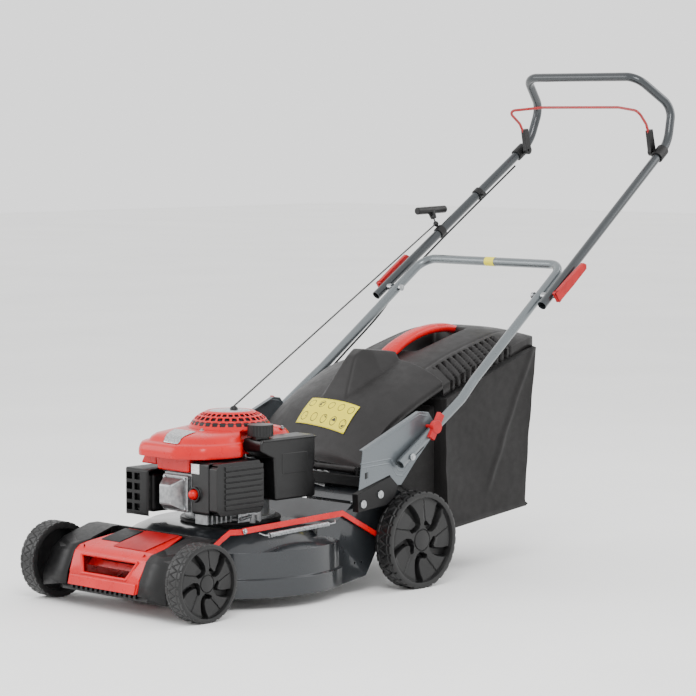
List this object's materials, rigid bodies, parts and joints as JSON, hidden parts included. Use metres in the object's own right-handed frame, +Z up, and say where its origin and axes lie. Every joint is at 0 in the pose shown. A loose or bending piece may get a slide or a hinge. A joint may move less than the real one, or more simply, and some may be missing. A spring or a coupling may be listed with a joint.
{
  "type": "push lawn mower",
  "caption": "Petrol push lawn mower with a round pressed deck, forward cylinder engine, four height-linked wheels, rear grass bag and folding tube handle.",
  "frame": {"origin": "middle of the machine on the ground, between its sides and between its nose and the back of its handle", "axes": "+X to the operator's left, +Y rearwards to the handle, +Z up"},
  "size_m": [0.594, 1.711, 1.182],
  "materials": {
    "deck_enamel": "gloss metallic anthracite stove enamel",
    "tube_enamel": "satin metallic grey powder coat",
    "bracket_steel": "satin grey painted pressing",
    "red_plastic": "moulded ABS, semi gloss",
    "red_enamel": "gloss enamel",
    "dark_plastic": "moulded, fine grain",
    "flap_plastic": "matte textured polypropylene",
    "wheel_plastic": "moulded wheel with ribbed tread",
    "bag_fabric": "coated woven polyester",
    "engine_alloy": "die cast",
    "steel": "zinc plated",
    "black_steel": "black paint",
    "rope": "braided polyester",
    "cable_sheath": "PVC sheath",
    "wire_red": "plastic coated wire"
  },
  "bodies": {
    "deck": {"deck_shell": "deck_enamel", "front_chassis": "dark_plastic", "front_cover": "red_plastic", "handle_bracket_left": "bracket_steel", "handle_bracket_right": "bracket_steel", "bracket_plates": "black_steel", "frame_bolts": "steel", "hinge_rail": "dark_plastic", "flap_rod": "steel", "height_spring": "steel", "engine_block": "engine_alloy", "valve_cover": "engine_alloy", "muffler": "steel", "muffler_guard": "black_steel", "engine_hood": "red_plastic", "recoil_grille": "red_plastic", "fuel_tank": "dark_plastic", "air_filter_base": "dark_plastic", "air_filter_cover": "dark_plastic", "carburettor": "engine_alloy", "starter_rope_low": "rope"},
    "crankshaft_group": {"crankshaft": "steel", "flywheel": "engine_alloy", "blade_holder": "steel", "blade": "black_steel", "blade_bolt": "steel"},
    "recoil_pulley": {"recoil_pulley": "dark_plastic"},
    "fuel_cap": {"fuel_cap": "dark_plastic"},
    "oil_cap": {"oil_cap": "dark_plastic"},
    "primer": {"primer_bulb": "red_plastic"},
    "flap": {"rear_flap": "flap_plastic"},
    "grass_bag": {"bag_lid": "flap_plastic", "bag_handle": "red_plastic", "bag_fabric": "bag_fabric", "bag_frame": "steel"},
    "lower_handle": {"lower_handle": "tube_enamel", "stop_cable_low": "cable_sheath"},
    "upper_handle": {"upper_handle": "tube_enamel", "cam_bolts": "steel", "bail_brackets": "dark_plastic", "rope_guide": "dark_plastic", "cable_clip": "dark_plastic", "starter_rope_high": "rope", "starter_rope_end": "rope", "stop_cable_high": "cable_sheath"},
    "cam_lever_left": {"cam_lever_left": "red_plastic"},
    "cam_lever_right": {"cam_lever_right": "red_plastic"},
    "tube_clamp_left": {"tube_clamp_left": "red_plastic"},
    "tube_clamp_right": {"tube_clamp_right": "red_plastic"},
    "bail": {"bail_bar": "wire_red", "bail_holders": "dark_plastic"},
    "starter_grip": {"starter_grip": "dark_plastic"},
    "rear_axle": {"rear_axle": "steel"},
    "front_axle": {"front_axle": "steel"},
    "height_link": {"height_link": "red_enamel"},
    "front_wheel_left": {"front_wheel_left": "wheel_plastic"},
    "front_wheel_right": {"front_wheel_right": "wheel_plastic"},
    "rear_wheel_left": {"rear_wheel_left": "wheel_plastic"},
    "rear_wheel_right": {"rear_wheel_right": "wheel_plastic"}
  },
  "joints": [
    {"name": "crank_spin", "type": "hinge", "parent": "deck", "child": "crankshaft_group", "pos_m": [0, -0.4605, 0.045], "axis": [0, 0, 1], "continuous": true},
    {"name": "recoil_turn", "type": "hinge", "parent": "deck", "child": "recoil_pulley", "pos_m": [0, -0.4605, 0.35], "axis": [0, 0, 1], "range_deg": [0, 640]},
    {"name": "fuel_cap_turn", "type": "hinge", "parent": "deck", "child": "fuel_cap", "pos_m": [0.123, -0.4835, 0.38], "axis": [0, 0, 1], "range_deg": [0, 120]},
    {"name": "oil_cap_turn", "type": "hinge", "parent": "deck", "child": "oil_cap", "pos_m": [-0.07, -0.3985, 0.25], "axis": [0, 0, 1], "range_deg": [0, 180]},
    {"name": "primer_press", "type": "slide", "parent": "deck", "child": "primer", "axis": [0, 1, 0], "range_m": [0, 0.005], "stiffness_N_per_m": 600, "springref_m": -0.001},
    {"name": "flap_open", "type": "hinge", "parent": "deck", "child": "flap", "pos_m": [0, -0.2325, 0.272], "axis": [1, 0, 0], "range_deg": [0, 50]},
    {"name": "bag_slide", "type": "slide", "parent": "deck", "child": "grass_bag", "axis": [0, 1, 0], "range_m": [0, 0.4]},
    {"name": "lower_fold", "type": "hinge", "parent": "deck", "child": "lower_handle", "pos_m": [0, -0.1505, 0.304], "axis": [1, 0, 0], "range_deg": [0, 120], "deforming": ["stop_cable_low", "starter_rope_low"]},
    {"name": "upper_fold", "type": "hinge", "parent": "lower_handle", "child": "upper_handle", "pos_m": [0, 0.3275, 0.6465], "axis": [-1, 0, 0], "range_deg": [-130, 0], "deforming": ["stop_cable_high", "starter_rope_high"]},
    {"name": "cam_lever_left_swing", "type": "hinge", "parent": "upper_handle", "child": "cam_lever_left", "pos_m": [0.29, 0.3275, 0.6465], "axis": [0, 0.5821, -0.8131], "range_deg": [0, 95]},
    {"name": "cam_lever_right_swing", "type": "hinge", "parent": "upper_handle", "child": "cam_lever_right", "pos_m": [-0.29, 0.3275, 0.6465], "axis": [0, -0.5821, 0.8131], "range_deg": [0, 95]},
    {"name": "tube_clamp_left_turn", "type": "hinge", "parent": "lower_handle", "child": "tube_clamp_left", "pos_m": [0.272, -0.0765, 0.367], "axis": [1, 0, 0], "range_deg": [0, 90]},
    {"name": "tube_clamp_right_turn", "type": "hinge", "parent": "lower_handle", "child": "tube_clamp_right", "pos_m": [-0.272, -0.0765, 0.367], "axis": [1, 0, 0], "range_deg": [0, 90]},
    {"name": "bail_squeeze", "type": "hinge", "parent": "upper_handle", "child": "bail", "pos_m": [0, 0.7895, 0.985], "axis": [1, 0, 0], "range_deg": [-40, 0], "stiffness_Nm_per_rad": 0.5, "springref_deg": 22.92},
    {"name": "starter_pull", "type": "slide", "parent": "upper_handle", "child": "starter_grip", "axis": [-0.4132, -0.0551, 0.909], "range_m": [0, 0.45], "stiffness_N_per_m": 12, "springref_m": -0.4, "deforming": ["starter_rope_end"]},
    {"name": "rear_axle_swing", "type": "hinge", "parent": "deck", "child": "rear_axle", "pos_m": [0, -0.15947, 0.0885], "axis": [-1, 0, 0], "range_deg": [0, 60], "deforming": ["height_spring"]},
    {"name": "front_axle_swing", "type": "hinge", "parent": "deck", "child": "front_axle", "pos_m": [0, -0.80947, 0.0625], "axis": [-1, 0, 0], "range_deg": [0, 60]},
    {"name": "height_link_turn", "type": "hinge", "parent": "rear_axle", "child": "height_link", "pos_m": [0.227, -0.18197, 0.12747], "axis": [-1, 0, 0], "range_deg": [-60, 0]},
    {"name": "front_wheel_left_roll", "type": "hinge", "parent": "front_axle", "child": "front_wheel_left", "pos_m": [0.24, -0.7705, 0.085], "axis": [1, 0, 0], "continuous": true},
    {"name": "front_wheel_right_roll", "type": "hinge", "parent": "front_axle", "child": "front_wheel_right", "pos_m": [-0.24, -0.7705, 0.085], "axis": [1, 0, 0], "continuous": true},
    {"name": "rear_wheel_left_roll", "type": "hinge", "parent": "rear_axle", "child": "rear_wheel_left", "pos_m": [0.255, -0.1205, 0.111], "axis": [1, 0, 0], "continuous": true},
    {"name": "rear_wheel_right_roll", "type": "hinge", "parent": "rear_axle", "child": "rear_wheel_right", "pos_m": [-0.255, -0.1205, 0.111], "axis": [1, 0, 0], "continuous": true}
  ],
  "couplings": [
    {"joint": "front_axle_swing", "follows": "rear_axle_swing", "ratio": 1},
    {"joint": "height_link_turn", "follows": "rear_axle_swing", "ratio": -1},
    {"joint": "recoil_turn", "follows": "starter_pull", "rad_per_m": 22.222}
  ]
}
